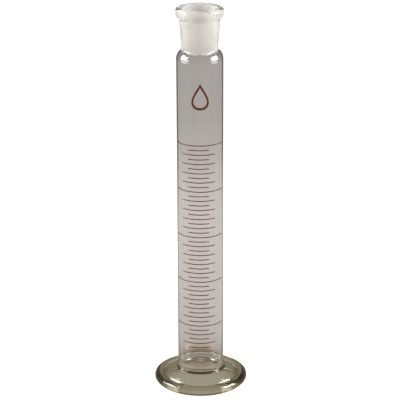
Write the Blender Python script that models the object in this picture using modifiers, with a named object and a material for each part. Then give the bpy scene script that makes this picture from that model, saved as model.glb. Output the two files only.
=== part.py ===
"""A 25 ml graduated measuring cylinder with a ground stopper socket, in metres, +Z up.

The origin is on the axis, in the plane the foot stands on. The scale faces -Y.
Every glass piece is turned about the Z axis. The enamel marks are thin strips wrapped round the
barrel, one for each half millilitre, and a plain droplet stands above them.
"""

import math

import bmesh
import bpy
from mathutils import Vector

MM = 0.001
COLLECTION_NAME = "graduated_cylinder"

# Facets and clearances
SEGMENTS = 48
FUSED_SEAM = 0.30 * MM
ENAMEL_CLEARANCE = 0.03 * MM
MERGE_DISTANCE = 0.00001

# Barrel
BARREL_RADIUS = 9.90 * MM
BARREL_WALL = 1.05 * MM
BORE_RADIUS = BARREL_RADIUS - BARREL_WALL
BARREL_HEEL_RADIUS = 0.70 * MM
FLOOR_CORNER_RADIUS = 1.40 * MM
FLOOR_THICKNESS = 0.65 * MM
FLOOR_BUMP_RADIUS = 3.30 * MM
FLOOR_BUMP_HEIGHT = 0.50 * MM

# Shares of simple solids, for the volume that the floor's corner and bump take up
CORNER_SHARE = 1 - math.pi / 4
CORNER_CENTROID = (10 - 3 * math.pi) / (12 - 3 * math.pi)
BUMP_SHARE = 0.5 - 2 / math.pi**2
CUBIC_METRES_PER_ML = 1e-6

# Foot
FOOT_RADIUS = 20.20 * MM
RIM_WIDTH = 2.00 * MM
RIM_MIDDLE_HEIGHT = 2.90 * MM
RIM_RISE = 1.90 * MM
RIM_START_DEGREES = 138.0
RIM_BELLY_HEIGHT = 1.00 * MM
CONTACT_RING_OUTER = 17.00 * MM
CONTACT_RING_INNER = 15.90 * MM
HOLLOW_EDGE_RADIUS = 15.40 * MM
HOLLOW_EDGE_HEIGHT = 2.40 * MM
HOLLOW_BEND_RADIUS = 7.40 * MM
HOLLOW_BEND_HEIGHT = 5.60 * MM
HOLLOW_ROOF_RADIUS = 4.00 * MM
HOLLOW_ROOF_HEIGHT = 6.20 * MM
HOLLOW_DOME = 0.15 * MM
WEB_ROLL_RADIUS = 15.80 * MM
WEB_ROLL_HEIGHT = 5.40 * MM
WEB_CORNER_RADIUS = 16.40 * MM
WEB_CORNER_HEIGHT = 5.05 * MM
WEB_EDGE_RADIUS = 16.70 * MM
WEB_EDGE_HEIGHT = 4.15 * MM
BOSS_RADIUS = 10.90 * MM
BOSS_HEIGHT = 8.30 * MM
BOSS_CORNER_RADIUS = 0.60 * MM
BOSS_FILLET_WIDTH = 0.40 * MM
BOSS_FILLET_HEIGHT = 0.50 * MM
BOSS_FILLET_END_DEGREES = 250.0

# Scale
DIVISION_ML = 0.5
LOWEST_MARK_ML = 2.5
CAPACITY_ML = 25.0
DIVISIONS_PER_LONG_MARK = 10
ENAMEL_THICKNESS = 0.10 * MM
MARK_HEIGHT = 0.32 * MM
LONG_MARK_SPAN = 142.5
UNIT_MARK_SPAN = 87.5
HALF_MARK_SPAN = 53.0
MARK_STEP_DEGREES = 7.5
FRONT_DEGREES = -90.0

# Shoulder and socket
SHOULDER_START_ABOVE_CAPACITY = 35.15 * MM
SHOULDER_CENTRE_RADIUS = 6.50 * MM
SHOULDER_RISE = 4.10 * MM
SHOULDER_END_DEGREES = 66.0
SHOULDER_INNER_DROP = 1.20 * MM
SHOULDER_INNER_CENTRE_RADIUS = 6.00 * MM
SHOULDER_INNER_RISE = 3.90 * MM
SHOULDER_INNER_END_DEGREES = 84.0
SOCKET_LARGE_RADIUS = 6.50 * MM
SOCKET_GROUND_LENGTH = 13.50 * MM
SOCKET_TAPER = 0.10
NECK_LOWER_RADIUS = 7.68 * MM
NECK_UPPER_RADIUS = 8.60 * MM
NECK_ROOT_HEIGHT = 0.90 * MM
NECK_FLARE_BELOW_TOP = 5.00 * MM
BEAD_RADIUS = 10.10 * MM
BEAD_LIP_CENTRE_RADIUS = 8.75 * MM
BEAD_LIP_HEIGHT = 1.45 * MM
BEAD_BAND_HEIGHT = 1.55 * MM
BEAD_BAND_RADIUS = 9.97 * MM
BEAD_UNDERCUT_RADIUS = 0.87 * MM
NECK_FILLET_RADIUS = 1.15 * MM
WIDEST_ABOVE_SHOULDER = 20.25 * MM
MOUTH_STEP = 0.15 * MM
MOUTH_FLARE_POWER = 1.6

# Droplet mark
DROPLET_ABOVE_CAPACITY = 21.10 * MM
DROPLET_OFFSET_DEGREES = 5.3
DROPLET_HALF_WIDTH = 5.30 * MM
DROPLET_HALF_HEIGHT = 5.70 * MM
DROPLET_SHARPNESS = 1.5
DROPLET_INNER_SCALE = 0.76
DROPLET_INNER_DROP = 0.35 * MM
DROPLET_POINTS = 44

GLASS_COLOUR = (0.82, 0.81, 0.78, 1.0)
FOOT_COLOUR = (0.74, 0.73, 0.62, 1.0)
GROUND_COLOUR = (0.80, 0.79, 0.76, 1.0)
ENAMEL_COLOUR = (0.24, 0.09, 0.035, 1.0)


def arc(centre, semi_axes, start, end, count):
    """Points of an elliptical arc, as (radius, height), from start to end in degrees."""
    points = []
    for index in range(count):
        angle = math.radians(start + (end - start) * index / (count - 1))
        radius = centre[0] + semi_axes[0] * math.cos(angle)
        height = centre[1] + semi_axes[1] * math.sin(angle)
        points.append((radius, height))
    return points


def bend(start, corner, end, count):
    """Points of a soft bend from start to end, as (radius, height), that rounds the corner."""
    points = []
    for index in range(count):
        share = index / (count - 1)
        weights = ((1 - share) ** 2, 2 * share * (1 - share), share**2)
        radius = weights[0] * start[0] + weights[1] * corner[0] + weights[2] * end[0]
        height = weights[0] * start[1] + weights[1] * corner[1] + weights[2] * end[1]
        points.append((radius, height))
    return points


def eased(start, end, power, count):
    """Points from start to end, as (radius, height), that leave start upright and then lean out."""
    points = []
    for index in range(count):
        share = index / (count - 1)
        radius = start[0] + (end[0] - start[0]) * share**power
        points.append((radius, start[1] + (end[1] - start[1]) * share))
    return points


def floor_height():
    """Height of the barrel's inside floor."""
    return BOSS_HEIGHT + FUSED_SEAM + FLOOR_THICKNESS


def level_of(volume_ml):
    """Height of the liquid surface when the barrel holds this volume."""
    corner_path = 2 * math.pi * (BORE_RADIUS - CORNER_CENTROID * FLOOR_CORNER_RADIUS)
    corner_volume = CORNER_SHARE * FLOOR_CORNER_RADIUS**2 * corner_path
    bump_volume = BUMP_SHARE * math.pi * FLOOR_BUMP_RADIUS**2 * FLOOR_BUMP_HEIGHT
    liquid_volume = volume_ml * CUBIC_METRES_PER_ML
    bore_area = math.pi * BORE_RADIUS**2
    return floor_height() + (liquid_volume + corner_volume + bump_volume) / bore_area


def shoulder_height():
    """Height at which the barrel's outside starts to curve in."""
    return level_of(CAPACITY_ML) + SHOULDER_START_ABOVE_CAPACITY


def seam_outer():
    """Where the barrel's shoulder meets the neck on the outside, as (radius, height)."""
    centre = (SHOULDER_CENTRE_RADIUS, shoulder_height())
    semi_axes = (BARREL_RADIUS - SHOULDER_CENTRE_RADIUS, SHOULDER_RISE)
    return arc(centre, semi_axes, 0, SHOULDER_END_DEGREES, 2)[-1]


def seam_inner():
    """Where the barrel's shoulder meets the socket on the inside, as (radius, height)."""
    centre = (SHOULDER_INNER_CENTRE_RADIUS, shoulder_height() - SHOULDER_INNER_DROP)
    semi_axes = (BORE_RADIUS - SHOULDER_INNER_CENTRE_RADIUS, SHOULDER_INNER_RISE)
    return arc(centre, semi_axes, 0, SHOULDER_INNER_END_DEGREES, 2)[-1]


def foot_outline():
    """The foot from the top of its boss, over the web and the rim, to the hollow underneath."""
    boss_centre = (BOSS_RADIUS - BOSS_CORNER_RADIUS, BOSS_HEIGHT - BOSS_CORNER_RADIUS)
    fillet_centre = (BOSS_RADIUS + BOSS_FILLET_WIDTH, BOSS_HEIGHT - BOSS_CORNER_RADIUS)
    fillet_axes = (BOSS_FILLET_WIDTH, BOSS_FILLET_HEIGHT)
    web_roll = (WEB_ROLL_RADIUS, WEB_ROLL_HEIGHT)
    web_corner = (WEB_CORNER_RADIUS, WEB_CORNER_HEIGHT)
    web_edge = (WEB_EDGE_RADIUS, WEB_EDGE_HEIGHT)
    rim_centre = (FOOT_RADIUS - RIM_WIDTH, RIM_MIDDLE_HEIGHT)
    rim_side = (FOOT_RADIUS, RIM_MIDDLE_HEIGHT)
    belly = (FOOT_RADIUS, RIM_BELLY_HEIGHT)
    outline = [(0.0, BOSS_HEIGHT)]
    outline += arc(boss_centre, (BOSS_CORNER_RADIUS,) * 2, 90, 0, 4)
    outline += arc(fillet_centre, fillet_axes, 180, BOSS_FILLET_END_DEGREES, 4)[1:]
    outline += bend(web_roll, web_corner, web_edge, 5)
    outline += arc(rim_centre, (RIM_WIDTH, RIM_RISE), RIM_START_DEGREES, 0, 9)[1:]
    outline += bend(rim_side, belly, (CONTACT_RING_OUTER, 0.0), 7)[1:]
    outline.append((CONTACT_RING_INNER, 0.0))
    outline.append((HOLLOW_EDGE_RADIUS, HOLLOW_EDGE_HEIGHT))
    outline.append((HOLLOW_BEND_RADIUS, HOLLOW_BEND_HEIGHT))
    outline.append((HOLLOW_ROOF_RADIUS, HOLLOW_ROOF_HEIGHT))
    outline.append((0.0, HOLLOW_ROOF_HEIGHT + HOLLOW_DOME))
    return outline


def barrel_outline():
    """The barrel from the middle of its floor, up the bore, over the shoulder and down outside."""
    floor = floor_height()
    shoulder = shoulder_height()
    corner_centre = (BORE_RADIUS - FLOOR_CORNER_RADIUS, floor + FLOOR_CORNER_RADIUS)
    inner_centre = (SHOULDER_INNER_CENTRE_RADIUS, shoulder - SHOULDER_INNER_DROP)
    inner_axes = (BORE_RADIUS - SHOULDER_INNER_CENTRE_RADIUS, SHOULDER_INNER_RISE)
    outer_centre = (SHOULDER_CENTRE_RADIUS, shoulder)
    outer_axes = (BARREL_RADIUS - SHOULDER_CENTRE_RADIUS, SHOULDER_RISE)
    heel_bottom = BOSS_HEIGHT + FUSED_SEAM
    heel_centre = (BARREL_RADIUS - BARREL_HEEL_RADIUS, heel_bottom + BARREL_HEEL_RADIUS)
    outline = []
    for index in range(4):
        share = index / 3
        rise = FLOOR_BUMP_HEIGHT * (1 + math.cos(math.pi * share)) / 2
        outline.append((FLOOR_BUMP_RADIUS * share, floor + rise))
    outline += arc(corner_centre, (FLOOR_CORNER_RADIUS,) * 2, -90, 0, 6)
    outline += arc(inner_centre, inner_axes, 0, SHOULDER_INNER_END_DEGREES, 5)
    outline += arc(outer_centre, outer_axes, SHOULDER_END_DEGREES, 0, 6)
    outline += arc(heel_centre, (BARREL_HEEL_RADIUS,) * 2, 0, -90, 4)
    outline.append((0.0, heel_bottom))
    return outline


def socket_outline():
    """The socket from its lip, down the bead and neck, across the seam and up the ground bore."""
    widest = shoulder_height() + WIDEST_ABOVE_SHOULDER
    band_foot = widest - BEAD_BAND_HEIGHT
    flare = widest + BEAD_LIP_HEIGHT - NECK_FLARE_BELOW_TOP
    seam_top = (seam_outer()[0], seam_outer()[1] + FUSED_SEAM)
    seam_foot = (seam_inner()[0], seam_inner()[1] + FUSED_SEAM)
    ground_top = seam_foot[1] + SOCKET_GROUND_LENGTH
    bore_foot_radius = SOCKET_LARGE_RADIUS - SOCKET_GROUND_LENGTH * SOCKET_TAPER / 2
    lip_axes = (BEAD_RADIUS - BEAD_LIP_CENTRE_RADIUS, BEAD_LIP_HEIGHT)
    undercut_centre = (BEAD_BAND_RADIUS - BEAD_UNDERCUT_RADIUS, band_foot)
    fillet_centre = (NECK_UPPER_RADIUS + NECK_FILLET_RADIUS, flare)
    lip = arc((BEAD_LIP_CENTRE_RADIUS, widest), lip_axes, 150, 0, 11)
    outline = list(lip)
    outline += arc(undercut_centre, (BEAD_UNDERCUT_RADIUS,) * 2, 0, -58, 4)
    outline += arc(fillet_centre, (NECK_FILLET_RADIUS,) * 2, 102, 180, 4)
    outline.append((NECK_LOWER_RADIUS, seam_top[1] + NECK_ROOT_HEIGHT))
    outline.append(seam_top)
    outline.append(seam_foot)
    outline.append((bore_foot_radius, seam_foot[1]))
    outline.append((SOCKET_LARGE_RADIUS, ground_top))
    flare_foot = (SOCKET_LARGE_RADIUS + MOUTH_STEP, ground_top + MOUTH_STEP)
    outline += eased(flare_foot, lip[0], MOUTH_FLARE_POWER, 5)
    return outline


def finish(name, colour, roughness, transmission=0.0):
    """A Principled material in one colour."""
    material = bpy.data.materials.new(name)
    material.use_nodes = True
    shader = material.node_tree.nodes["Principled BSDF"]
    shader.inputs["Base Color"].default_value = colour
    shader.inputs["Roughness"].default_value = roughness
    shader.inputs["Metallic"].default_value = 0.0
    shader.inputs["Transmission Weight"].default_value = transmission
    material.diffuse_color = colour
    return material


def part_object(name, mesh, material, collection):
    """An object for this mesh, dressed and linked to the collection."""
    mesh.materials.append(material)
    thing = bpy.data.objects.new(name, mesh)
    collection.objects.link(thing)
    return thing


def line_mesh(name, points):
    """A mesh of one open chain of edges through points given as (radius, height)."""
    mesh = bpy.data.meshes.new(name)
    shape = bmesh.new()
    verts = [shape.verts.new((radius, 0.0, height)) for radius, height in points]
    for first, second in zip(verts, verts[1:]):
        shape.edges.new((first, second))
    bmesh.ops.remove_doubles(shape, verts=shape.verts, dist=MERGE_DISTANCE)
    shape.to_mesh(mesh)
    shape.free()
    return mesh


def sweep(thing, degrees, steps):
    """Turns the object's profile about its Z axis."""
    screw = thing.modifiers.new("turned", "SCREW")
    screw.axis = "Z"
    screw.angle = math.radians(degrees)
    screw.steps = steps
    screw.render_steps = steps
    screw.use_smooth_shade = True
    screw.use_merge_vertices = degrees == 360
    screw.merge_threshold = MERGE_DISTANCE


def turned_piece(name, outline, material, collection):
    """A solid turned all the way round from its outline."""
    thing = part_object(name, line_mesh(name, outline), material, collection)
    sweep(thing, 360, SEGMENTS)
    return thing


def raise_enamel(thing):
    """Gives a surface on the barrel the thickness of the enamel, outwards."""
    solidify = thing.modifiers.new("enamel", "SOLIDIFY")
    solidify.thickness = ENAMEL_THICKNESS
    solidify.offset = 1.0


def mark_span(division):
    """The angle in degrees that a mark covers, counted in divisions down from capacity."""
    if division % DIVISIONS_PER_LONG_MARK == 0:
        return LONG_MARK_SPAN
    if division % 2 == 0:
        return UNIT_MARK_SPAN
    return HALF_MARK_SPAN


def graduation(volume_ml, span, material, collection):
    """One enamel line of the scale."""
    name = f"graduation_{volume_ml:04.1f}_ml".replace(".", "_")
    radius = BARREL_RADIUS + ENAMEL_CLEARANCE
    level = level_of(volume_ml)
    edge = [(radius, level + MARK_HEIGHT / 2), (radius, level - MARK_HEIGHT / 2)]
    thing = part_object(name, line_mesh(name, edge), material, collection)
    thing.rotation_euler.z = math.radians(FRONT_DEGREES - span / 2)
    sweep(thing, span, round(span / MARK_STEP_DEGREES))
    raise_enamel(thing)
    return thing


def droplet_point(turn, scale, drop):
    """A point of the droplet's outline, as (distance round the barrel, height)."""
    across = DROPLET_HALF_WIDTH * math.sin(turn) * math.sin(turn / 2) ** DROPLET_SHARPNESS
    up = DROPLET_HALF_HEIGHT * math.cos(turn)
    return across * scale, up * scale - drop


def wrapped(across, up):
    """A flat point laid on the barrel, about the droplet's centre line."""
    radius = BARREL_RADIUS + ENAMEL_CLEARANCE
    turn = math.radians(FRONT_DEGREES + DROPLET_OFFSET_DEGREES) + across / radius
    height = level_of(CAPACITY_ML) + DROPLET_ABOVE_CAPACITY + up
    return Vector((radius * math.cos(turn), radius * math.sin(turn), height))


def droplet_mark(material, collection):
    """A plain outlined droplet in enamel, wrapped round the barrel."""
    mesh = bpy.data.meshes.new("droplet_mark")
    shape = bmesh.new()
    rings = []
    for scale, drop in ((1.0, 0.0), (DROPLET_INNER_SCALE, DROPLET_INNER_DROP)):
        ring = []
        for index in range(DROPLET_POINTS):
            turn = 2 * math.pi * index / DROPLET_POINTS
            ring.append(shape.verts.new(wrapped(*droplet_point(turn, scale, drop))))
        rings.append(ring)
    outer, inner = rings
    for index in range(DROPLET_POINTS):
        following = (index + 1) % DROPLET_POINTS
        shape.faces.new((outer[index], inner[index], inner[following], outer[following]))
    shape.normal_update()
    shape.to_mesh(mesh)
    shape.free()
    mesh.shade_smooth()
    thing = part_object("droplet_mark", mesh, material, collection)
    raise_enamel(thing)
    return thing


def clear_scene():
    """Removes every object the scene starts with."""
    for thing in list(bpy.data.objects):
        bpy.data.objects.remove(thing, do_unlink=True)


def main():
    """Builds the cylinder."""
    clear_scene()
    collection = bpy.data.collections.new(COLLECTION_NAME)
    bpy.context.scene.collection.children.link(collection)
    foot_glass = finish("foot_glass", FOOT_COLOUR, 0.03, 1.0)
    barrel_glass = finish("barrel_glass", GLASS_COLOUR, 0.02, 1.0)
    ground_glass = finish("ground_glass", GROUND_COLOUR, 0.45, 1.0)
    turned_piece("foot", foot_outline(), foot_glass, collection)
    turned_piece("barrel", barrel_outline(), barrel_glass, collection)
    turned_piece("ground_socket", socket_outline(), ground_glass, collection)
    divisions = round((CAPACITY_ML - LOWEST_MARK_ML) / DIVISION_ML)
    for division in range(divisions + 1):
        volume_ml = CAPACITY_ML - division * DIVISION_ML
        enamel = finish(f"enamel_{volume_ml:04.1f}", ENAMEL_COLOUR, 0.4)
        graduation(volume_ml, mark_span(division), enamel, collection)
    droplet_mark(finish("enamel_droplet", ENAMEL_COLOUR, 0.4), collection)


main()
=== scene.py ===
"""Looks of a 25 ml graduated cylinder with a ground stopper socket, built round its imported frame.

The glass is turned finely from outlines that start at the frame's own sizes. The three glass
pieces are fused on the real cylinder, so their touching faces are clear to light and the glass
reads as one. The scale is fired enamel, laid on the barrel line by line.
"""

import logging
import math
from dataclasses import dataclass, field
from enum import Enum

import bmesh
import bpy
from bmesh.types import BMesh, BMVert
from bpy.types import Material, Mesh, Node, NodeSocket, Object, bpy_prop_collection
from mathutils import Matrix, Vector


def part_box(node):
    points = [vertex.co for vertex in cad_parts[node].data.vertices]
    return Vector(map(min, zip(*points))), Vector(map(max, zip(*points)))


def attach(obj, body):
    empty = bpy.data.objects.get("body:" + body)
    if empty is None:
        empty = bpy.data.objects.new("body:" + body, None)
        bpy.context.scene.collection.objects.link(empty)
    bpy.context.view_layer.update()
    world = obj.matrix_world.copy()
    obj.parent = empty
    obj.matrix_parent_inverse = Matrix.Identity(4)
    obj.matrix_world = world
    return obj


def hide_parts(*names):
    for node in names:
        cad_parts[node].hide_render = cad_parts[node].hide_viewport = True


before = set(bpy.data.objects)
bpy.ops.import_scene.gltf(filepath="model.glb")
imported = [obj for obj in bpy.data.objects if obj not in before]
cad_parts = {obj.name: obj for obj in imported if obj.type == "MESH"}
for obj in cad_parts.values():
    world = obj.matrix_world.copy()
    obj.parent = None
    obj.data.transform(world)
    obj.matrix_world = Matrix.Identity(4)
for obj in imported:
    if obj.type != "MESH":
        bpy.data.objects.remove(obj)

MM = 0.001
ROOT = "root"
log = logging.getLogger("graduated_cylinder")

Point = tuple[float, float]
Triple = tuple[float, float, float]
Colour = Triple
Ring = list[BMVert]

FRONT = math.radians(-90.0)  # the way the scale faces, as a turn about Z
SEGMENTS = 144  # facets round a glass piece
SAME_PLACE = 1e-9  # metres within which two points are one
SEAM_HALF_GAP = 0.01 * MM  # half the clear gap between two fused pieces
GLASS_CREASE = 50.0  # degrees a glass edge turns to stay crisp
ENAMEL_CREASE = 40.0  # degrees an enamel edge turns to stay crisp
ENAMEL_LIFT = 0.008 * MM  # how far the enamel stands off the glass
ENAMEL_THICKNESS = 0.06 * MM
REFRACTION = 1.5  # of the glass and of the enamel
NOISE_LOW = 0.3  # the range that most noise values fall in
NOISE_HIGH = 0.7
MIX_FIRST = 6  # the colour sockets of a Mix node
MIX_SECOND = 7
MIX_RESULT = 2
WHITE = (1.0, 1.0, 1.0, 1.0)
CLEAR = (0.94, 0.925, 0.91)  # the barrel's glass seen square on


class Zone(Enum):
    """What a stretch of a glass outline is, and so which finish it takes."""

    OUTER = 0
    BORE = 1
    GROUND = 2
    SEAM = 3
    FLOOR_SPOT = 4


@dataclass
class Stretch:
    """A run of outline points, as (radius, height), that share one finish."""

    zone: Zone  # the finish of the surface between these points
    points: list[Point]


def arc(centre: Point, axes: Point, start: float, end: float, count: int) -> list[Point]:
    """Points of an elliptical arc.

    Args:
        centre: the ellipse's middle, as (radius, height).
        axes: its half widths, across and up.
        start: the first angle in degrees, from straight out.
        end: the last angle in degrees.
        count: how many points to make.

    Returns:
        The points in order.
    """
    points = []
    for index in range(count):
        angle = math.radians(start + (end - start) * index / (count - 1))
        across = centre[0] + axes[0] * math.cos(angle)
        points.append((across, centre[1] + axes[1] * math.sin(angle)))
    return points


def bend(start: Point, control: Point, end: Point, count: int) -> list[Point]:
    """Points of a soft bend that leaves start towards control and arrives at end from it.

    Args:
        start: where the bend begins, as (radius, height).
        control: the corner that it rounds.
        end: where it stops.
        count: how many points to make.

    Returns:
        The points in order.
    """
    points = []
    for index in range(count):
        share = index / (count - 1)
        weights = ((1 - share) ** 2, 2 * share * (1 - share), share**2)
        across = sum(w * p[0] for w, p in zip(weights, (start, control, end)))
        height = sum(w * p[1] for w, p in zip(weights, (start, control, end)))
        points.append((across, height))
    return points


def bridge(shape: BMesh, first: Ring, second: Ring) -> None:
    """Joins two rings of corners with a band of faces.

    Args:
        shape: the shape that the rings are in.
        first: one ring.
        second: the next ring, with as many corners.
    """
    for index in range(len(first)):
        after = (index + 1) % len(first)
        shape.faces.new((first[index], second[index], second[after], first[after]))


def finished_mesh(name: str, shape: BMesh, crease: float) -> Mesh:
    """Makes a smooth mesh of a shape, and frees the shape.

    Args:
        name: the mesh's name.
        shape: the shape, with its normals facing out.
        crease: the degrees that an edge has to turn to stay crisp.

    Returns:
        The mesh.
    """
    mesh = bpy.data.meshes.new(name)
    shape.to_mesh(mesh)
    shape.free()
    mesh.shade_smooth()
    mesh.set_sharp_from_angle(angle=math.radians(crease))
    return mesh


def turned_mesh(name: str, stretches: list[Stretch]) -> Mesh:
    """Turns an outline about the Z axis into one closed surface.

    Args:
        name: the mesh's name.
        stretches: the outline in order; each stretch starts where the last ended.

    Returns:
        The mesh, with one material index for each zone.
    """
    outline: list[Point] = []
    zones: list[Zone] = []
    for stretch in stretches:
        points = stretch.points[1:] if outline else stretch.points
        outline += points
        zones += [stretch.zone] * (len(points) if zones else len(points) - 1)
    closed = math.dist(outline[0], outline[-1]) < SAME_PLACE
    if closed:
        outline.pop()
    shape = bmesh.new()
    rings = []
    for radius, height in outline:
        if radius < SAME_PLACE:
            rings.append([shape.verts.new((0.0, 0.0, height))] * SEGMENTS)
            continue
        ring = []
        for index in range(SEGMENTS):
            turn = 2 * math.pi * index / SEGMENTS
            place = (radius * math.cos(turn), radius * math.sin(turn), height)
            ring.append(shape.verts.new(place))
        rings.append(ring)
    if closed:
        rings.append(rings[0])
    for upper, lower, zone in zip(rings, rings[1:], zones):
        for index in range(SEGMENTS):
            after = (index + 1) % SEGMENTS
            corners = [upper[index], lower[index], lower[after], upper[after]]
            unique = [corner for i, corner in enumerate(corners) if corner not in corners[:i]]
            if len(unique) > 2:
                shape.faces.new(unique).material_index = zone.value
    shape.normal_update()
    return finished_mesh(name, shape, GLASS_CREASE)


class Shader:
    """A node tree being wired, with short calls for the nodes these finishes use."""

    def __init__(self, name: str, blocks: bpy_prop_collection | None = None) -> None:
        """Starts a material, or a world, with an empty tree.

        Args:
            name: its name.
            blocks: what it is added to: the file's materials if nothing else is given.
        """
        self.block = (bpy.data.materials if blocks is None else blocks).new(name)
        self.block.use_nodes = True
        self.tree = self.block.node_tree
        self.tree.nodes.clear()

    def node(self, kind: str, values: dict[str, object] | None = None, **settings: object) -> Node:
        """Adds a node.

        Args:
            kind: the node's type name.
            values: input sockets and the constants they take.
            **settings: the node's own properties.

        Returns:
            The node.
        """
        made = self.tree.nodes.new(kind)
        for key, value in settings.items():
            setattr(made, key, value)
        for key, value in (values or {}).items():
            made.inputs[key].default_value = value
        return made

    def link(self, source: NodeSocket, target: NodeSocket) -> None:
        """Joins two sockets."""
        self.tree.links.new(source, target)

    def output(self, socket: NodeSocket, body: NodeSocket | None = None) -> Material:
        """Sends a shader to the material's surface.

        Args:
            socket: the shader socket to show.
            body: the shader of what lies under the surface, if it has one.

        Returns:
            The finished material.
        """
        end = self.node("ShaderNodeOutputMaterial")
        self.link(socket, end.inputs["Surface"])
        if body is not None:
            self.link(body, end.inputs["Volume"])
        return self.block

    def noise(self, scale: Triple, detail: float, roughness: float) -> NodeSocket:
        """Noise with its own fineness along each axis.

        Args:
            scale: how many grains it has per metre along X, Y and Z.
            detail: how many finer layers it has.
            roughness: how strong those layers are.

        Returns:
            The noise value's socket.
        """
        place = self.node("ShaderNodeTexCoord")
        stretch = self.node("ShaderNodeMapping", {"Scale": scale})
        values = {"Scale": 1.0, "Detail": detail, "Roughness": roughness}
        noise = self.node("ShaderNodeTexNoise", values)
        self.link(place.outputs["Object"], stretch.inputs["Vector"])
        self.link(stretch.outputs["Vector"], noise.inputs["Vector"])
        return noise.outputs["Fac"]

    def spread(self, value: NodeSocket, low: float, high: float) -> NodeSocket:
        """Maps a noise value onto a range.

        Args:
            value: the noise.
            low: what the noise's low end becomes.
            high: what its high end becomes.

        Returns:
            The mapped value's socket.
        """
        ranged = self.node(
            "ShaderNodeMapRange",
            {"From Min": NOISE_LOW, "From Max": NOISE_HIGH, "To Min": low, "To Max": high},
        )
        self.link(value, ranged.inputs["Value"])
        return ranged.outputs["Result"]

    def blend(
        self,
        share: NodeSocket,
        first: Colour | NodeSocket,
        second: Colour,
        blend_type: str = "MIX",
    ) -> NodeSocket:
        """A colour between two others.

        Args:
            share: how far towards the second colour.
            first: the colour at 0, or the socket that gives it.
            second: the colour at 1.
            blend_type: how the second colour is laid on the first.

        Returns:
            The colour's socket.
        """
        mixed = self.node("ShaderNodeMix", data_type="RGBA", blend_type=blend_type)
        if isinstance(first, tuple):
            mixed.inputs[MIX_FIRST].default_value = (*first, 1.0)
        else:
            self.link(first, mixed.inputs[MIX_FIRST])
        mixed.inputs[MIX_SECOND].default_value = (*second, 1.0)
        self.link(share, mixed.inputs[0])
        return mixed.outputs[MIX_RESULT]

    def ramp(self, value: NodeSocket, stops: list[tuple[float, Colour]]) -> NodeSocket:
        """Colours that follow a value through a row of stops.

        Args:
            value: the value.
            stops: where each colour is, and the colour, in rising order.

        Returns:
            The colour's socket.
        """
        ramp = self.node("ShaderNodeValToRGB")
        self.link(value, ramp.inputs["Fac"])
        elements = ramp.color_ramp.elements
        while len(elements) < len(stops):
            elements.new(1.0)
        for element, (place, colour) in zip(elements, stops):
            element.position = place
            element.color = (*colour, 1.0)
        return ramp.outputs["Color"]

    def bump(self, height: NodeSocket, strength: float, distance: float) -> NodeSocket:
        """A bumped normal.

        Args:
            height: the bump's height value.
            strength: how much of it shows.
            distance: the height of a full bump in metres.

        Returns:
            The normal's socket.
        """
        raised = self.node("ShaderNodeBump", {"Strength": strength, "Distance": distance})
        self.link(height, raised.inputs["Height"])
        return raised.outputs["Normal"]


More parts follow.
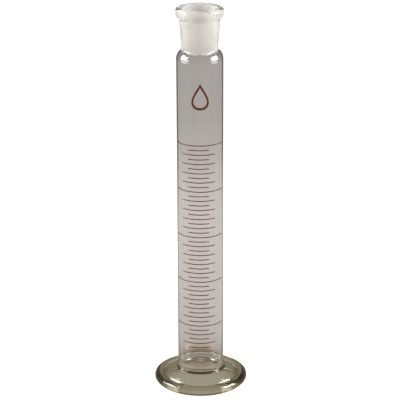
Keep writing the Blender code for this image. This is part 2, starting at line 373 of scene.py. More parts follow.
@dataclass(frozen=True)
class Glass:
    """A glass surface, with painted shade laid on its grazing edges and, where it is asked for,
    near the foot.
    """

    name: str
    tint: Colour  # its colour seen square on
    painted_edge_shade: Colour  # painted shade: the darker colour it takes where the view grazes its edges
    # how much of the painted edge shade shows, as (how grazing the view is, share), both from 0 to
    # 1
    edge_shares: tuple[Point, ...] = ((0.58, 0.0), (0.74, 1.0))
    edge_low: float = 0.0  # the height in metres below which the painted edge shade is at its weakest
    edge_high: float = 1.0 * MM  # the height above which it is at its strongest
    edge_least: float = 1.0  # its weakest share
    # painted shade: what multiplies its colour near the foot, making it darker and browner there
    painted_foot_shade: Colour = (1.0, 1.0, 1.0)
    low_end: float = 0.0  # the height in metres up to which that holds in full
    low_start: float = 0.0  # the height where it has faded out
    body_colour: Colour = (1.0, 1.0, 1.0)  # the colour that its thickness takes on
    body_density: float = 0.0  # how strongly it does, per metre
    clearness: float = 1.0  # how much of the light goes through and isn't scattered white
    roughness: float = 0.0  # how matt it is
    roughness_spread: float = 0.01  # how much the roughness varies
    tint_spread: float = 0.04  # how much its colour varies from streak to streak
    ripple: float = 0.01 * MM  # the height of the surface's ripples in metres
    ripple_across: float = 260.0  # how fine the ripples are round the piece, per metre
    ripple_along: float = 14.0  # how fine they are along it, per metre

    def by_height(self, shader: Shader, low: Point, high: Point) -> NodeSocket:
        """A value that changes with the height on the piece.

        Args:
            shader: the tree to wire it in.
            low: a height in metres and the value at and below it.
            high: a height in metres and the value at and above it.

        Returns:
            The value's socket.
        """
        place = shader.node("ShaderNodeTexCoord")
        split = shader.node("ShaderNodeSeparateXYZ")
        shader.link(place.outputs["Object"], split.inputs["Vector"])
        rising = shader.node(
            "ShaderNodeMapRange",
            {"From Min": low[0], "From Max": high[0], "To Min": low[1], "To Max": high[1]},
            interpolation_type="SMOOTHSTEP",
        )
        shader.link(split.outputs["Z"], rising.inputs["Value"])
        return rising.outputs["Result"]

    def grazing(self, shader: Shader) -> NodeSocket:
        """How much of the painted edge shade shows, by the view's angle and the height on the
        piece.

        Args:
            shader: the tree to wire it in.

        Returns:
            The share's socket, from 0 to 1.
        """
        weight = shader.node("ShaderNodeLayerWeight", {"Blend": 0.5})
        stops = [(place, (share,) * 3) for place, share in self.edge_shares]
        grazing = shader.ramp(weight.outputs["Facing"], stops)
        rising = self.by_height(shader, (self.edge_low, self.edge_least), (self.edge_high, 1.0))
        product = shader.node("ShaderNodeMath", operation="MULTIPLY")
        shader.link(grazing, product.inputs[0])
        shader.link(rising, product.inputs[1])
        return product.outputs["Value"]

    def material(self) -> Material:
        """Makes the material.

        Returns:
            The material.
        """
        shader = Shader(self.name)
        fineness = (self.ripple_across, self.ripple_across, self.ripple_along)
        streaks = shader.noise(fineness, detail=2.0, roughness=0.5)
        dimmer = tuple(channel * (1 - self.tint_spread) for channel in self.tint)
        plain = shader.blend(shader.spread(streaks, 0.0, 1.0), dimmer, self.tint)
        # painted shade: the edge colour darkens the glass where the view grazes it
        colour = shader.blend(self.grazing(shader), plain, self.painted_edge_shade)
        # painted shade near the foot: darker and browner towards it
        if self.low_start > 0.0:
            near_foot = self.by_height(shader, (self.low_end, 1.0), (self.low_start, 0.0))
            colour = shader.blend(near_foot, colour, self.painted_foot_shade, "MULTIPLY")
        surface = shader.node(
            "ShaderNodeBsdfPrincipled",
            {"Transmission Weight": self.clearness, "IOR": REFRACTION, "Metallic": 0.0},
        )
        shader.link(colour, surface.inputs["Base Color"])
        rough = shader.spread(streaks, self.roughness, self.roughness + self.roughness_spread)
        shader.link(rough, surface.inputs["Roughness"])
        rippled = shader.bump(streaks, strength=1.0, distance=self.ripple)
        shader.link(rippled, surface.inputs["Normal"])
        return shader.output(surface.outputs["BSDF"], self.body(shader))

    def body(self, shader: Shader) -> NodeSocket | None:
        """The colour that the glass takes on with its thickness.

        Args:
            shader: the tree to wire it in.

        Returns:
            The volume's socket, or nothing for a glass that takes on none.
        """
        if self.body_density <= 0.0:
            return None
        values = {"Color": (*self.body_colour, 1.0), "Density": self.body_density}
        return shader.node("ShaderNodeVolumeAbsorption", values).outputs["Volume"]


@dataclass(frozen=True)
class Seam:
    """The inside of a fused joint, where glass meets glass and nothing shows."""

    name: str = "fused_seam"

    def material(self) -> Material:
        """Makes the material.

        Returns:
            The material.
        """
        shader = Shader(self.name)
        clear = shader.node("ShaderNodeBsdfTransparent", {"Color": WHITE})
        return shader.output(clear.outputs["BSDF"])


@dataclass(frozen=True)
class Enamel:
    """Fired enamel, a little uneven in thickness."""

    name: str
    colour: Colour  # where it is thick
    thin_colour: Colour  # where it is thin
    patches: float = 900.0  # how many thick and thin patches it has per metre
    grains: float = 9000.0  # how many grains its surface has per metre
    grain_height: float = 0.02 * MM  # the grains' height in metres
    grain_strength: float = 0.4  # how much of them shows
    roughness: float = 0.45  # how matt it is
    roughness_spread: float = 0.20  # how much the roughness varies

    def material(self) -> Material:
        """Makes the material.

        Returns:
            The material.
        """
        shader = Shader(self.name)
        patches = shader.noise((self.patches,) * 3, detail=3.0, roughness=0.6)
        grains = shader.noise((self.grains,) * 3, detail=2.0, roughness=0.6)
        surface = shader.node(
            "ShaderNodeBsdfPrincipled",
            {"Metallic": 0.0, "IOR": REFRACTION, "Specular IOR Level": 0.2},
        )
        share = shader.spread(patches, 0.0, 1.0)
        colour = shader.blend(share, self.colour, self.thin_colour)
        shader.link(colour, surface.inputs["Base Color"])
        rough = shader.spread(grains, self.roughness, self.roughness + self.roughness_spread)
        shader.link(rough, surface.inputs["Roughness"])
        raised = shader.bump(grains, self.grain_strength, self.grain_height)
        shader.link(raised, surface.inputs["Normal"])
        return shader.output(surface.outputs["BSDF"])


# the second colour of each glass is painted shade for its grazing edges; the colours given for the
# barrel and the bore near the foot are painted shade too
BARREL_GLASS = Glass(
    "barrel_glass",
    CLEAR,
    (0.03, 0.026, 0.021),
    edge_shares=((0.38, 0.0), (0.43, 0.08), (0.48, 0.0), (0.60, 0.0), (0.65, 1.0)),
    edge_low=45.0 * MM,
    edge_high=115.0 * MM,
    edge_least=0.35,
    painted_foot_shade=(0.84, 0.77, 0.62),
    low_end=10.0 * MM,
    low_start=13.0 * MM,
)
BORE_GLASS = Glass(
    "bore_glass",
    CLEAR,
    (0.78, 0.76, 0.74),
    edge_shares=((0.5, 0.0), (0.8, 1.0)),
    painted_foot_shade=(0.84, 0.79, 0.68),
    low_end=10.0 * MM,
    low_start=13.0 * MM,
)
NECK_GLASS = Glass(
    "neck_glass",
    (0.97, 0.96, 0.94),
    (0.66, 0.645, 0.61),
    edge_shares=((0.66, 0.0), (0.80, 1.0)),
    clearness=0.93,
)
MOUTH_GLASS = Glass(
    "mouth_glass",
    (0.93, 0.92, 0.88),
    (0.90, 0.89, 0.84),
    clearness=0.90,
    roughness=0.60,
    roughness_spread=0.15,
)
GROUND_GLASS = Glass(
    "ground_glass",
    (0.955, 0.94, 0.90),
    (0.955, 0.94, 0.90),
    clearness=0.60,
    roughness=0.42,
    roughness_spread=0.12,
    tint_spread=0.06,
    ripple=0.02 * MM,
)
# the foot's dark olive edge colour is painted shade; its body colour is the glass's own
FOOT_GLASS = Glass(
    "foot_glass",
    (0.93, 0.915, 0.88),
    (0.26, 0.225, 0.085),
    edge_shares=((0.52, 0.0), (0.70, 0.40), (0.85, 1.0)),
    body_colour=(0.50, 0.42, 0.05),
    body_density=100.0,
)
FLOOR_SPOT_GLASS = Glass("floor_spot_glass", (0.74, 0.62, 0.42), (0.70, 0.58, 0.38))


@dataclass
class GlassKit:
    """The finishes that the glass pieces share, each made once."""

    barrel: Material = field(default_factory=BARREL_GLASS.material)  # the outside of the barrel
    bore: Material = field(default_factory=BORE_GLASS.material)  # the inside of the barrel
    neck: Material = field(default_factory=NECK_GLASS.material)  # the outside of the socket
    mouth: Material = field(default_factory=MOUTH_GLASS.material)  # its inside, but for the taper
    ground: Material = field(default_factory=GROUND_GLASS.material)  # the ground taper
    foot: Material = field(default_factory=FOOT_GLASS.material)  # the foot's glass
    seam: Material = field(default_factory=Seam().material)  # a fused joint
    # the browned glass in the middle of the barrel's floor
    floor_spot: Material = field(default_factory=FLOOR_SPOT_GLASS.material)

    def dress(self, mesh: Mesh, outer: Material, inner: Material) -> None:
        """Gives a turned mesh one material for each zone, in the zones' order.

        Args:
            mesh: the mesh to dress.
            outer: the finish of its outside.
            inner: the finish of its inside.
        """
        for material in (outer, inner, self.ground, self.seam, self.floor_spot):
            mesh.materials.append(material)


def show(name: str, mesh: Mesh, slot: str, *nodes: str) -> Object:
    """Puts a finished mesh in the scene as a piece of the object.

    Args:
        name: the piece's name.
        mesh: its mesh, in the frame's own coordinates.
        slot: not used.
        *nodes: the frame's nodes that it stands for.

    Returns:
        The piece.
    """
    piece = bpy.data.objects.new(name, mesh)
    bpy.context.scene.collection.objects.link(piece)
    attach(piece, ROOT)
    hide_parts(*nodes)
    return piece


@dataclass
class Levels:
    """Sizes read from the frame, in metres, that the glass pieces share."""

    foot_radius: float = field(init=False)  # the foot's outside
    boss_top: float = field(init=False)  # the middle of the seam between the foot and the barrel
    barrel_radius: float = field(init=False)  # the barrel's outside
    seam_height: float = field(init=False)  # the top of the barrel's shoulder
    mouth_height: float = field(init=False)  # the top of the rim
    bead_radius: float = field(init=False)  # the rim's outside
    capacity_height: float = field(init=False)  # the middle of the highest line

    def __post_init__(self) -> None:
        """Reads the frame's boxes."""
        foot_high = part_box("foot")[1]
        barrel_low, barrel_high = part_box("barrel")
        socket_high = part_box("ground_socket")[1]
        line_low, line_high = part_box("graduation_25_0_ml")
        self.foot_radius = foot_high.x
        self.boss_top = (foot_high.z + barrel_low.z) / 2
        self.barrel_radius = barrel_high.x
        self.seam_height = barrel_high.z
        self.mouth_height = socket_high.z
        self.bead_radius = socket_high.x
        self.capacity_height = (line_low.z + line_high.z) / 2


@dataclass
class GlassPiece:
    """A piece of glass that is turned from an outline."""

    levels: Levels
    kit: GlassKit

    def outline(self) -> list[Stretch]:
        """The stretches of the piece's outline, in order."""
        raise NotImplementedError

    def turned(self, name: str, slot: str, node: str, outer: Material, inner: Material) -> Object:
        """Turns the piece, dresses it and puts it in the scene.

        Args:
            name: the piece's name.
            slot: a material slot's name, handed on to show.
            node: the frame's node that it stands for.
            outer: the finish of its outside.
            inner: the finish of its inside.

        Returns:
            The piece.
        """
        mesh = turned_mesh(name, self.outline())
        self.kit.dress(mesh, outer, inner)
        return show(name, mesh, slot, node)


@dataclass
class Foot(GlassPiece):
    """The pressed foot: a rounded rim, a slightly domed web and a boss that carries the barrel.

    Places are (radius, height).
    """

    rim_width: float = 2.00 * MM  # the rim's half width
    rim_middle: float = 2.90 * MM  # the height of its widest place
    rim_rise: float = 1.90 * MM  # how far its crown stands above that
    rim_start: float = 138.0  # where the crown starts, in degrees from straight out
    belly_corner: float = 1.00 * MM  # the height of the corner that its underside rounds
    ring_outer: float = 17.00 * MM  # the contact ring's outer radius, and its inner one
    ring_inner: float = 16.30 * MM
    hollow_wall: Point = (15.90 * MM, 1.80 * MM)  # the corner that the hollow's wall rounds
    hollow_edge: Point = (15.60 * MM, 2.40 * MM)  # where that wall ends and the cone starts
    hollow_bend: Point = (7.40 * MM, 5.60 * MM)  # where the cone ends
    hollow_crown: Point = (5.20 * MM, 6.10 * MM)  # the corner between the cone and the roof
    hollow_roof: Point = (4.00 * MM, 6.20 * MM)  # where the roof starts
    roof_dome: float = 0.15 * MM  # how far the roof rises to its middle
    web_roll: Point = (15.80 * MM, 5.40 * MM)  # where the web starts to roll over at its edge
    web_corner: Point = (16.40 * MM, 5.05 * MM)  # the corner that the roll rounds
    web_edge: Point = (16.70 * MM, 4.15 * MM)  # where the web ends
    crease: float = 0.10 * MM  # the size of the crease between the web and the rim
    boss_radius: float = 10.90 * MM  # the boss's outside
    boss_corner: float = 0.60 * MM  # the radius of its rounded top edge
    fillet: Point = (0.40 * MM, 0.50 * MM)  # the width and height of the fillet at its foot
    fillet_end: float = 250.0  # where the fillet ends, in degrees

    def upper_side(self, top: float) -> list[Point]:
        """The foot's outside, from the seam over the boss, the web and the rim to the table.

        Args:
            top: the boss's height.

        Returns:
            The points in order.
        """
        rim = self.levels.foot_radius
        rim_centre = (rim - self.rim_width, self.rim_middle)
        rim_axes = (self.rim_width, self.rim_rise)
        corner_centre = (self.boss_radius - self.boss_corner, top - self.boss_corner)
        corner_axes = (self.boss_corner, self.boss_corner)
        fillet_centre = (self.boss_radius + self.fillet[0], corner_centre[1])
        crease = (self.web_edge[0] + self.crease, self.web_edge[1] - self.crease)
        crown = arc(rim_centre, rim_axes, start=self.rim_start, end=0, count=31)
        side = [(self.levels.barrel_radius, top)]
        side += arc(corner_centre, corner_axes, start=90, end=0, count=9)
        side += arc(fillet_centre, self.fillet, start=180, end=self.fillet_end, count=8)[1:]
        side += bend(self.web_roll, self.web_corner, self.web_edge, count=14)
        side += bend(self.web_edge, crease, crown[0], count=5)[1:]
        side += crown[1:]
        side += bend(crown[-1], (rim, self.belly_corner), (self.ring_outer, 0.0), count=21)[1:]
        side.append((self.ring_inner, 0.0))
        return side

    def under_side(self) -> list[Point]:
        """The hollow underneath, from the contact ring in to its middle.

        Returns:
            The points in order.
        """
        side = bend((self.ring_inner, 0.0), self.hollow_wall, self.hollow_edge, count=9)
        side += bend(self.hollow_bend, self.hollow_crown, self.hollow_roof, count=9)
        side.append((0.0, self.hollow_roof[1] + self.roof_dome))
        return side

    def outline(self) -> list[Stretch]:
        """The foot's outline, from the seam outwards, round the rim and in under the hollow.

        Returns:
            The stretches in order.
        """
        top = self.levels.boss_top - SEAM_HALF_GAP
        return [
            Stretch(Zone.SEAM, [(0.0, top), (self.levels.barrel_radius, top)]),
            Stretch(Zone.OUTER, self.upper_side(top)),
            Stretch(Zone.OUTER, self.under_side()),
        ]

    def build(self) -> Object:
        """Makes the foot."""
        kit = self.kit
        return self.turned("foot_glass_body", "foot_glass", "foot", kit.foot, kit.bore)


@dataclass
class Barrel(GlassPiece):
    """The drawn tube with its closed floor and rounded shoulder."""

    wall: float = 1.05 * MM  # the tube's thickness
    floor_corner: float = 1.40 * MM  # the radius of the corner between the bore and the floor
    floor_thickness: float = 0.80 * MM
    bump_radius: float = 3.30 * MM  # the radius of the low bump in the middle of the floor
    bump_height: float = 0.50 * MM  # that bump's height
    bump_steps: int = 8  # how many steps its slope has
    shoulder_rise: float = 4.10 * MM  # the height of the ellipse that the shoulder follows outside
    shoulder_radius: float = 6.50 * MM  # how far from the axis that ellipse's middle is
    shoulder_end: float = 66.0  # where the shoulder ends, in degrees
    inner_drop: float = 1.20 * MM  # how much lower the ellipse inside has its middle
    inner_radius: float = 6.00 * MM  # how far from the axis that middle is
    inner_rise: float = 3.90 * MM  # the height of the ellipse inside
    inner_end: float = 84.0  # where the shoulder ends inside, in degrees

    @property
    def shoulder_height(self) -> float:
        """Where the outside starts to curve in."""
        end = math.radians(self.shoulder_end)
        return self.levels.seam_height - self.shoulder_rise * math.sin(end)

    @property
    def bore(self) -> float:
        """The bore's radius."""
        return self.levels.barrel_radius - self.wall

    def inner_shoulder(self) -> list[Point]:
        """The inside of the shoulder.

        Returns:
            The points, going up.
        """
        centre = (self.inner_radius, self.shoulder_height - self.inner_drop)
        axes = (self.bore - self.inner_radius, self.inner_rise)
        return arc(centre, axes, start=0, end=self.inner_end, count=18)

    def outer_shoulder(self) -> list[Point]:
        """The outside of the shoulder.

        Returns:
            The points, going down.
        """
        centre = (self.shoulder_radius, self.shoulder_height)
        axes = (self.levels.barrel_radius - self.shoulder_radius, self.shoulder_rise)
        return arc(centre, axes, start=self.shoulder_end, end=0, count=18)

    def floor_bump(self, floor: float) -> list[Point]:
        """The low bump in the middle of the floor.

        Args:
            floor: the floor's height round it.

        Returns:
            The points, from the middle out.
        """
        points = []
        for index in range(self.bump_steps + 1):
            share = index / self.bump_steps
            rise = self.bump_height * (1 + math.cos(math.pi * share)) / 2
            points.append((self.bump_radius * share, floor + rise))
        return points

    def outline(self) -> list[Stretch]:
        """The barrel's outline, from the middle of its floor, up inside and down outside.

        Returns:
            The stretches in order.
        """
        bottom = self.levels.boss_top + SEAM_HALF_GAP
        floor = bottom + self.floor_thickness
        heel = (self.levels.barrel_radius, bottom)
        spot = self.floor_bump(floor)
        corner_centre = (self.bore - self.floor_corner, floor + self.floor_corner)
        corner_axes = (self.floor_corner, self.floor_corner)
        inner = self.inner_shoulder()
        outer = self.outer_shoulder()
        inside = [spot[-1]]
        inside += arc(corner_centre, corner_axes, start=-90, end=0, count=14)
        return [
            Stretch(Zone.FLOOR_SPOT, spot),
            Stretch(Zone.BORE, inside + inner),
            Stretch(Zone.SEAM, [inner[-1], outer[0]]),
            Stretch(Zone.OUTER, outer + [heel]),
            Stretch(Zone.SEAM, [heel, (0.0, bottom)]),
        ]

    def build(self) -> Object:
        """Makes the barrel."""
        kit = self.kit
        return self.turned("barrel_glass_body", "barrel_glass", "barrel", kit.barrel, kit.bore)


@dataclass
class Socket(GlassPiece):
    """The neck with its fire-polished rim and the ground taper inside it."""

    barrel: Barrel  # the barrel that it is fused to
    ground_length: float = 13.50 * MM  # the length of the ground taper
    large_radius: float = 6.50 * MM  # the taper's radius at its top
    taper: float = 0.10  # how much its width shrinks for its length
    neck_lower: float = 7.68 * MM  # the neck's radius at its root
    neck_upper: float = 8.60 * MM  # its radius under the rim
    root_height: float = 0.90 * MM  # where the neck leaves the curve at its root, above the seam
    root_round: float = 0.35 * MM  # how high the corner of that curve is
    flare_below_top: float = 5.00 * MM  # how far below the top the neck starts to flare
    lip_centre: float = 8.75 * MM  # how far from the axis the lip's middle is
    lip_height: float = 1.45 * MM  # how far below the top the rim is widest
    band_height: float = 1.55 * MM  # how tall the rim's straight band is
    band_radius: float = 9.97 * MM  # the radius at the band's foot
    undercut: float = 0.87 * MM  # the radius of the curve under the band
    fillet: float = 1.15 * MM  # the radius of the curve from there into the neck
    mouth_step: float = 0.15 * MM  # the size of the step above the ground taper
    mouth_rise: float = 2.20 * MM  # how high the corner of the mouth's flare is above that

    def outer_side(self, root_foot: Point) -> list[Point]:
        """The socket's outside, from its lip down to the seam.

        Args:
            root_foot: where the seam's outer edge is.

        Returns:
            The points in order.
        """
        mouth = self.levels.mouth_height
        widest = mouth - self.lip_height
        lip_axes = (self.levels.bead_radius - self.lip_centre, self.lip_height)
        undercut_centre = (self.band_radius - self.undercut, widest - self.band_height)
        undercut_axes = (self.undercut, self.undercut)
        fillet_centre = (self.neck_upper + self.fillet, mouth - self.flare_below_top)
        fillet_axes = (self.fillet, self.fillet)
        root_top = (self.neck_lower, self.levels.seam_height + self.root_height)
        root_corner = (self.neck_lower, root_foot[1] + self.root_round)
        side = arc((self.lip_centre, widest), lip_axes, start=150, end=0, count=31)
        side += arc(undercut_centre, undercut_axes, start=0, end=-58, count=10)
        side += arc(fillet_centre, fillet_axes, start=102, end=180, count=12)
        side += bend(root_top, root_corner, root_foot, count=7)
        return side

    def outline(self) -> list[Stretch]:
        """The socket's outline, from its lip down outside, across the seam and up inside.

        Returns:
            The stretches in order.
        """
        raised = 2 * SEAM_HALF_GAP
        outer_seam = self.barrel.outer_shoulder()[0]
        inner_seam = self.barrel.inner_shoulder()[-1]
        root_foot = (outer_seam[0], outer_seam[1] + raised)
        seam_foot = (inner_seam[0], inner_seam[1] + raised)
        small_radius = self.large_radius - self.ground_length * self.taper / 2
        ground_foot = (small_radius, seam_foot[1])
        ground_top = (self.large_radius, seam_foot[1] + self.ground_length)
        mouth_foot = (self.large_radius + self.mouth_step, ground_top[1] + self.mouth_step)
        mouth_corner = (mouth_foot[0], mouth_foot[1] + self.mouth_rise)
        outside = self.outer_side(root_foot)
        return [
            Stretch(Zone.OUTER, outside),
            Stretch(Zone.SEAM, [root_foot, seam_foot]),
            Stretch(Zone.BORE, [seam_foot, ground_foot]),
            Stretch(Zone.GROUND, [ground_foot, ground_top]),
            Stretch(Zone.BORE, [ground_top] + bend(mouth_foot, mouth_corner, outside[0], count=14)),
        ]

    def build(self) -> Object:
        """Makes the socket."""
        names = ("ground_socket_body", "ground_glass", "ground_socket")
        return self.turned(*names, self.kit.neck, self.kit.mouth)


@dataclass
class EnamelLine:
    """One line of the scale: a low rounded pad of enamel on the barrel."""

    node: str  # the frame's own line
    radius: float  # the barrel's outside
    material: Material  # its enamel
    bleed: float = 0.04 * MM  # how far it spreads above and below the frame's line
    crown: float = 0.012 * MM  # how much thicker it is along its middle
    shoulder: float = 0.34  # where its sides start to slope, as a share of its height
    frame_thickness: float = 0.13 * MM  # how far the frame's line stands off the barrel
    wrap_margin: float = 0.50 * MM  # the slack in telling a line that goes more than half round
    degrees_per_step: float = 2.5  # how finely it follows the barrel
    fewest_steps: int = 6

    def half_span(self, high: Vector) -> float:
        """How far round the barrel the line goes from its middle.

        Args:
            high: the highest corner of the frame's line.

        Returns:
            The turn in radians.
        """
        span = math.asin(min(1.0, high.x / (self.radius + self.frame_thickness)))
        if high.y > -self.radius * math.cos(span) + self.wrap_margin:
            return math.pi - span
        return span

    def build(self) -> Object:
        """Makes the line where the frame's own line is.

        Returns:
            The line.
        """
        low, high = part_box(self.node)
        half_span = self.half_span(high)
        steps = round(2 * half_span / math.radians(self.degrees_per_step))
        steps = max(self.fewest_steps, steps)
        height = high.z - low.z + 2 * self.bleed
        middle = (low.z + high.z) / 2
        inner = self.radius + ENAMEL_LIFT
        outer = inner + ENAMEL_THICKNESS
        section = [
            (inner, -0.5),
            (outer, -self.shoulder),
            (outer + self.crown, 0.0),
            (outer, self.shoulder),
            (inner, 0.5),
        ]
        shape = bmesh.new()
        rings = []
        for index in range(steps + 1):
            turn = FRONT - half_span + 2 * half_span * index / steps
            ring = []
            for radius, up in section:
                place = (radius * math.cos(turn), radius * math.sin(turn), middle + up * height)
                ring.append(shape.verts.new(place))
            rings.append(ring)
        for first, second in zip(rings, rings[1:]):
            bridge(shape, first, second)
        shape.faces.new(reversed(rings[0]))
        shape.faces.new(rings[-1])
        bmesh.ops.recalc_face_normals(shape, faces=shape.faces)
        mesh = finished_mesh(self.node + "_line", shape, ENAMEL_CREASE)
        mesh.materials.append(self.material)
        return show(self.node + "_line", mesh, "enamel", self.node)


@dataclass
class Scale:
    """Every enamel line on the barrel."""

    levels: Levels
    # the lines' finish
    enamel: Enamel = Enamel("line_enamel", (0.055, 0.013, 0.001), (0.100, 0.030, 0.005))

    def build(self) -> list[Object]:
        """Makes the lines.

        Returns:
            The lines, from the last of their names to the first.
        """
        material = self.enamel.material()
        nodes = sorted((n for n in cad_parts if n.startswith("graduation_")), reverse=True)
        return [EnamelLine(node, self.levels.barrel_radius, material).build() for node in nodes]


@dataclass
class Droplet:
    """The plain outlined droplet that stands above the scale."""

    levels: Levels
    half_width: float = 5.30 * MM  # what sets its width, before its point is drawn out
    sharpness: float = 1.5  # how drawn out the point is
    inner_scale: float = 0.76  # the size of its inside for its outside
    inner_drop: float = 0.35 * MM  # how much lower the inside sits
    slope: float = 0.015  # how far its sides lean in, as a share of its size
    points: int = 96  # how many points go round it
    # its finish
    enamel: Enamel = Enamel("droplet_enamel", (0.050, 0.012, 0.001), (0.09, 0.025, 0.005))

    def outline_point(self, turn: float, scale: float, drop: float, half_height: float) -> Point:
        """A point of the outline, as (distance round the barrel, height above its middle)."""
        across = self.half_width * math.sin(turn) * math.sin(turn / 2) ** self.sharpness
        return across * scale, half_height * math.cos(turn) * scale - drop

    def build(self) -> Object:
        """Makes the droplet where the frame's own droplet is.

        Returns:
            The droplet.
        """
        low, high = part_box("droplet_mark")
        radius = self.levels.barrel_radius + ENAMEL_LIFT
        middle = (low.z + high.z) / 2
        half_height = (high.z - low.z) / 2
        across = (low.x + high.x) / 2
        centre_turn = FRONT + math.asin(across / radius)
        shape = bmesh.new()
        rings = []
        for scale, drop, out in (
            (1.0, 0.0, 0.0),
            (1.0 - self.slope, 0.0, ENAMEL_THICKNESS),
            (self.inner_scale + self.slope, self.inner_drop, ENAMEL_THICKNESS),
            (self.inner_scale, self.inner_drop, 0.0),
        ):
            reach = radius + out
            ring = []
            for index in range(self.points):
                turn = 2 * math.pi * index / self.points
                side, up = self.outline_point(turn, scale, drop, half_height)
                angle = centre_turn + side / radius
                place = (reach * math.cos(angle), reach * math.sin(angle), middle + up)
                ring.append(shape.verts.new(place))
            rings.append(ring)
        for first, second in zip(rings, rings[1:] + rings[:1]):
            bridge(shape, first, second)
        bmesh.ops.recalc_face_normals(shape, faces=shape.faces)
        mesh = finished_mesh("droplet_line", shape, ENAMEL_CREASE)
        mesh.materials.append(self.enamel.material())
        return show("droplet_line", mesh, "enamel", "droplet_mark")


@dataclass(frozen=True)
class Softbox:
    """A soft light that looks at the cylinder."""

    name: str
    azimuth: float  # its direction in degrees, to the right of the camera's own side
    elevation: float  # its height in degrees above the cylinder's middle
    width: float  # the panel's width in metres
    height: float  # the panel's height in metres
    watts: float  # its power
    distance: float = 0.6  # how far it hangs from the cylinder's middle

    def hang(self, camera_azimuth: float, target: Vector) -> None:
        """Hangs the light.

        Args:
            camera_azimuth: the camera's direction in degrees.
            target: what the light looks at.
        """
        data = bpy.data.lights.new(self.name, "AREA")
        data.shape = "RECTANGLE"
        data.size = self.width
        data.size_y = self.height
        data.energy = self.watts
        light = bpy.data.objects.new(self.name, data)
        light.visible_camera = False
        bpy.context.scene.collection.objects.link(light)
        turn = math.radians(camera_azimuth + self.azimuth)
        lift = math.radians(self.elevation)
        level = math.cos(lift)
        back = Vector((math.sin(turn) * level, -math.cos(turn) * level, math.sin(lift)))
        light.location = target + back * self.distance
        light.rotation_euler = back.to_track_quat("Z", "Y").to_euler()


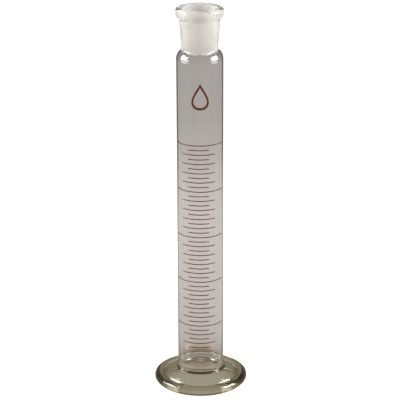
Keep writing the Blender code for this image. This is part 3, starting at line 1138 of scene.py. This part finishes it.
@dataclass
class Studio:
    """The pale table, the soft side lights and the camera."""

    levels: Levels
    lens: float = 152.7  # the camera's focal length, in millimetres
    sensor: float = 36.0  # the width of its sensor, in millimetres
    nearest: float = 0.01  # the nearest and the farthest that it sees, in metres
    farthest: float = 50.0
    distance: float = 688.0 * MM  # how far it stands from the cylinder's axis
    above_capacity: float = 204.5 * MM  # how far above the highest line it stands
    tilt: float = 18.6  # how far it looks down, in degrees
    azimuth: float = 4.5  # how far round to the right it stands, in degrees
    roll: float = -0.19  # how far it leans, in degrees
    pan: float = 0.008  # how far it turns from the axis, in degrees
    bounce_lift: float = 2.0  # how much brighter the room is for light that matt glass scatters
    # the room that the glass bends, from level to overhead
    room_colours: tuple[tuple[float, Colour], ...] = (
        (0.00, (0.44, 0.42, 0.405)),
        (0.55, (0.13, 0.125, 0.12)),
    )
    # the table that the glass bends, by the distance from its middle: a painted shadow round the
    # foot, a painted pool of light further out, and grey beyond
    painted_table_shadow_and_light: tuple[tuple[float, Colour], ...] = (
        (0.000, (0.470, 0.435, 0.385)),
        (0.011, (0.450, 0.425, 0.390)),
        (0.016, (0.300, 0.268, 0.200)),
        (0.027, (0.310, 0.275, 0.205)),
        (0.034, (0.460, 0.420, 0.350)),
        (0.040, (0.560, 0.530, 0.500)),
        (0.060, (0.605, 0.578, 0.560)),
        (0.120, (0.660, 0.630, 0.610)),
        (0.200, (0.680, 0.649, 0.629)),
        (0.270, (0.640, 0.611, 0.592)),
        (0.340, (0.540, 0.516, 0.500)),
        (0.420, (0.460, 0.439, 0.426)),
        (0.800, (0.440, 0.420, 0.407)),
    )
    table_glow: float = 0.92  # how bright the table is to the lens
    table_grey: float = 0.3  # the colour that takes the lights' pools on the table
    table_radius: float = 2.5
    table_drop: float = 0.02 * MM  # how far the table lies below the foot
    softboxes: tuple[Softbox, ...] = (  # the lights
        Softbox("left_softbox", -88.0, 26.0, 0.42, 0.34, 8.0),
        Softbox("right_softbox", 82.0, 26.0, 0.40, 0.34, 8.0),
    )
    bounces: tuple[tuple[str, float], ...] = (  # how far light is followed through the glass
        ("max_bounces", 24),
        ("transmission_bounces", 20),
        ("transparent_max_bounces", 16),
        ("glossy_bounces", 8),
        ("sample_clamp_indirect", 6.0),
    )

    def camera(self) -> None:
        """Stands the camera in front of the scale, looking down at the cylinder."""
        data = bpy.data.cameras.new("camera")
        data.lens = self.lens
        data.sensor_width = self.sensor
        data.clip_start = self.nearest
        data.clip_end = self.farthest
        camera = bpy.data.objects.new("camera", data)
        bpy.context.scene.collection.objects.link(camera)
        turn = math.radians(self.azimuth)
        height = self.levels.capacity_height + self.above_capacity
        across = self.distance * math.sin(turn)
        camera.location = (across, -self.distance * math.cos(turn), height)
        facing = Matrix.Rotation(turn, 4, "Z") @ Matrix.Rotation(math.radians(self.pan), 4, "Z")
        tilted = facing @ Matrix.Rotation(math.radians(90.0 - self.tilt), 4, "X")
        rolled = tilted @ Matrix.Rotation(math.radians(self.roll), 4, "Z")
        camera.rotation_euler = rolled.to_euler()
        bpy.context.scene.camera = camera

    def strength(self, shader: Shader) -> NodeSocket:
        """How bright a surface is, which is more for light that matt glass scatters.

        Args:
            shader: the tree to wire it in.

        Returns:
            The strength's socket.
        """
        path = shader.node("ShaderNodeLightPath")
        lift = shader.node("ShaderNodeMapRange", {"To Min": 1.0, "To Max": self.bounce_lift})
        shader.link(path.outputs["Diffuse Depth"], lift.inputs["Value"])
        return lift.outputs["Result"]

    def by_ray(self, shader: Shader, bent: NodeSocket, direct: NodeSocket) -> NodeSocket:
        """Shows one shader to the lens and another to everything else.

        Args:
            shader: the tree to wire it in.
            bent: what the glass bends, reflects and gathers.
            direct: what the lens sees beside the glass.

        Returns:
            The shader's socket.
        """
        path = shader.node("ShaderNodeLightPath")
        pick = shader.node("ShaderNodeMixShader")
        shader.link(path.outputs["Is Camera Ray"], pick.inputs["Fac"])
        shader.link(bent, pick.inputs[1])
        shader.link(direct, pick.inputs[2])
        return pick.outputs["Shader"]

    def world(self) -> None:
        """White to the lens, and the softer greys of a studio to everything the glass bends."""
        shader = Shader("studio", bpy.data.worlds)
        place = shader.node("ShaderNodeTexCoord")
        split = shader.node("ShaderNodeSeparateXYZ")
        shader.link(place.outputs["Generated"], split.inputs["Vector"])
        room = shader.node("ShaderNodeBackground")
        colour = shader.ramp(split.outputs["Z"], list(self.room_colours))
        shader.link(colour, room.inputs["Color"])
        shader.link(self.strength(shader), room.inputs["Strength"])
        sheet = shader.node("ShaderNodeBackground", {"Color": WHITE, "Strength": 1.0})
        end = shader.node("ShaderNodeOutputWorld")
        seen = self.by_ray(shader, room.outputs["Background"], sheet.outputs["Background"])
        shader.link(seen, end.inputs["Surface"])
        bpy.context.scene.world = shader.block

    def table_material(self) -> Material:
        """The table's finish: pale to the lens, and to the glass glowing greys with a painted
        shadow round the foot and a painted pool of light.

        Returns:
            The material.
        """
        shader = Shader("table")
        place = shader.node("ShaderNodeTexCoord")
        length = shader.node("ShaderNodeVectorMath", operation="LENGTH")
        shader.link(place.outputs["Object"], length.inputs[0])
        seen = shader.node("ShaderNodeEmission")
        # painted shadow and light: the glass sees these glowing greys in place of the lit table
        colour = shader.ramp(length.outputs["Value"], list(self.painted_table_shadow_and_light))
        shader.link(self.strength(shader), seen.inputs["Strength"])
        shader.link(colour, seen.inputs["Color"])
        glow = shader.node("ShaderNodeEmission", {"Color": WHITE, "Strength": self.table_glow})
        grey = (self.table_grey, self.table_grey, self.table_grey, 1.0)
        lit = shader.node("ShaderNodeBsdfDiffuse", {"Color": grey})
        plain = shader.node("ShaderNodeAddShader")
        shader.link(glow.outputs["Emission"], plain.inputs[0])
        shader.link(lit.outputs["BSDF"], plain.inputs[1])
        picked = self.by_ray(shader, seen.outputs["Emission"], plain.outputs["Shader"])
        return shader.output(picked)

    def floor(self) -> None:
        """A plain pale table."""
        mesh = bpy.data.meshes.new("table")
        shape = bmesh.new()
        bmesh.ops.create_circle(shape, cap_ends=True, segments=96, radius=self.table_radius)
        shape.to_mesh(mesh)
        shape.free()
        mesh.materials.append(self.table_material())
        table = bpy.data.objects.new("table", mesh)
        table.location.z = -self.table_drop
        bpy.context.scene.collection.objects.link(table)

    def build(self) -> None:
        """Sets the whole studio."""
        self.camera()
        self.world()
        self.floor()
        target = Vector((0.0, 0.0, self.levels.mouth_height / 2))
        for softbox in self.softboxes:
            softbox.hang(self.azimuth, target)
        scene = bpy.context.scene
        scene.view_settings.view_transform = "Standard"
        for name, value in self.bounces:
            setattr(scene.cycles, name, value)


def main() -> None:
    """Builds the studio, then the cylinder piece by piece from the foot up."""
    logging.basicConfig(level=logging.INFO, format="%(name)s: %(message)s")
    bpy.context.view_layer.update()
    levels = Levels()
    Studio(levels).build()
    kit = GlassKit()
    barrel = Barrel(levels, kit)
    pieces = [Foot(levels, kit).build(), barrel.build(), Socket(levels, kit, barrel).build()]
    pieces += Scale(levels).build()
    pieces.append(Droplet(levels).build())
    for piece in pieces:
        log.info("%s: %d faces", piece.name, len(piece.data.polygons))


if __name__ == "__main__":
    main()
